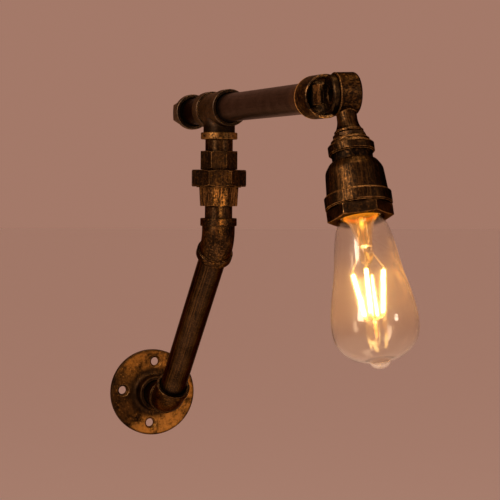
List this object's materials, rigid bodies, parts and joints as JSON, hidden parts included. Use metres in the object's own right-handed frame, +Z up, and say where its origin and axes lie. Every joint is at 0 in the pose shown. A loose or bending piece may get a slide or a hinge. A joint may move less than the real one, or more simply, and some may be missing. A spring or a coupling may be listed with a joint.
{
  "type": "industrial pipe wall light",
  "caption": "Wall light built from cast pipe fittings: a wall flange, an angled riser, a union, a tee with a long arm, and a tilting lamp head with a filament bulb.",
  "frame": {"origin": "centre of the wall flange's back face, on the wall", "axes": "+Z up, +Y into the wall, so the arm reaches out along -Y; +X is to the right, seen from the room"},
  "size_m": [0.0738, 0.5372, 0.2896],
  "materials": {
    "antique_bronze_iron": "dark bronze paint rubbed back to gold on the edges",
    "bronzed_pipe": "satin antique bronze, drawn streaks along the pipe",
    "brushed_flange": "brushed antique gold over dark brown",
    "plain_brass": "aged brass",
    "fibre_gasket": "dull red-brown fibre",
    "spring_steel": "grey spring steel",
    "moulded_holder": "black moulded plastic",
    "clear_glass": "clear blown glass",
    "stem_glass": "clear stem glass",
    "cap_shell": "bright brass, worn by the thread",
    "black_glass": "black glazed insulator",
    "solder": "dull solder",
    "filament": "warm glowing filament rods",
    "nickel_wire": "thin nickel wire"
  },
  "bodies": {
    "wall_base": {"wall_flange": "brushed_flange", "flange_nipple": "bronzed_pipe", "lower_elbow": "antique_bronze_iron", "riser_pipe": "bronzed_pipe", "upper_elbow": "antique_bronze_iron", "lower_nipple": "bronzed_pipe", "union_tail": "antique_bronze_iron", "union_gasket": "fibre_gasket", "union_nut": "antique_bronze_iron"},
    "arm": {"union_head": "antique_bronze_iron", "upper_nipple": "bronzed_pipe", "pipe_tee": "antique_bronze_iron", "arm_pipe": "bronzed_pipe", "rear_nipple": "bronzed_pipe", "end_cap": "antique_bronze_iron", "arm_collar": "antique_bronze_iron", "knuckle_arm_half": "antique_bronze_iron", "pivot_sleeve": "plain_brass"},
    "head": {"friction_washer": "spring_steel", "knuckle_head_half": "antique_bronze_iron", "drum_cap": "antique_bronze_iron", "neck_locknut": "antique_bronze_iron", "head_reducer": "antique_bronze_iron", "spigot_nut": "plain_brass", "head_nipple": "bronzed_pipe", "lamp_bell": "antique_bronze_iron", "hex_bushing": "antique_bronze_iron", "socket_insulator": "moulded_holder", "socket_shell": "plain_brass", "socket_contact": "plain_brass", "terminal_screws": "plain_brass"},
    "bulb_foot": {"bulb_contact": "solder"},
    "bulb": {"bulb_glass": "clear_glass", "bulb_screw_cap": "cap_shell", "bulb_cap_insulator": "black_glass", "bulb_stem": "stem_glass", "bulb_filaments": "filament", "bulb_supports": "nickel_wire"}
  },
  "joints": [
    {"name": "arm_swing", "type": "hinge", "parent": "wall_base", "child": "arm", "pos_m": [0, -0.1928, 0.1868], "axis": [0, 0, 1], "range_deg": [-100, 100]},
    {"name": "head_tilt", "type": "hinge", "parent": "arm", "child": "head", "pos_m": [0, -0.463, 0.238], "axis": [-0.9994, 0, -0.0349], "range_deg": [-50, 100]},
    {"name": "bulb_travel", "type": "slide", "parent": "head", "child": "bulb_foot", "axis": [0.0333, -0.3024, -0.9526], "range_m": [0, 0.0073]},
    {"name": "bulb_turn", "type": "hinge", "parent": "bulb_foot", "child": "bulb", "pos_m": [0, -0.463, 0.238], "axis": [0.0333, -0.3024, -0.9526], "range_deg": [0, 720]}
  ],
  "couplings": [
    {"joint": "bulb_travel", "follows": "bulb_turn", "m_per_rad": 0.00057296}
  ]
}
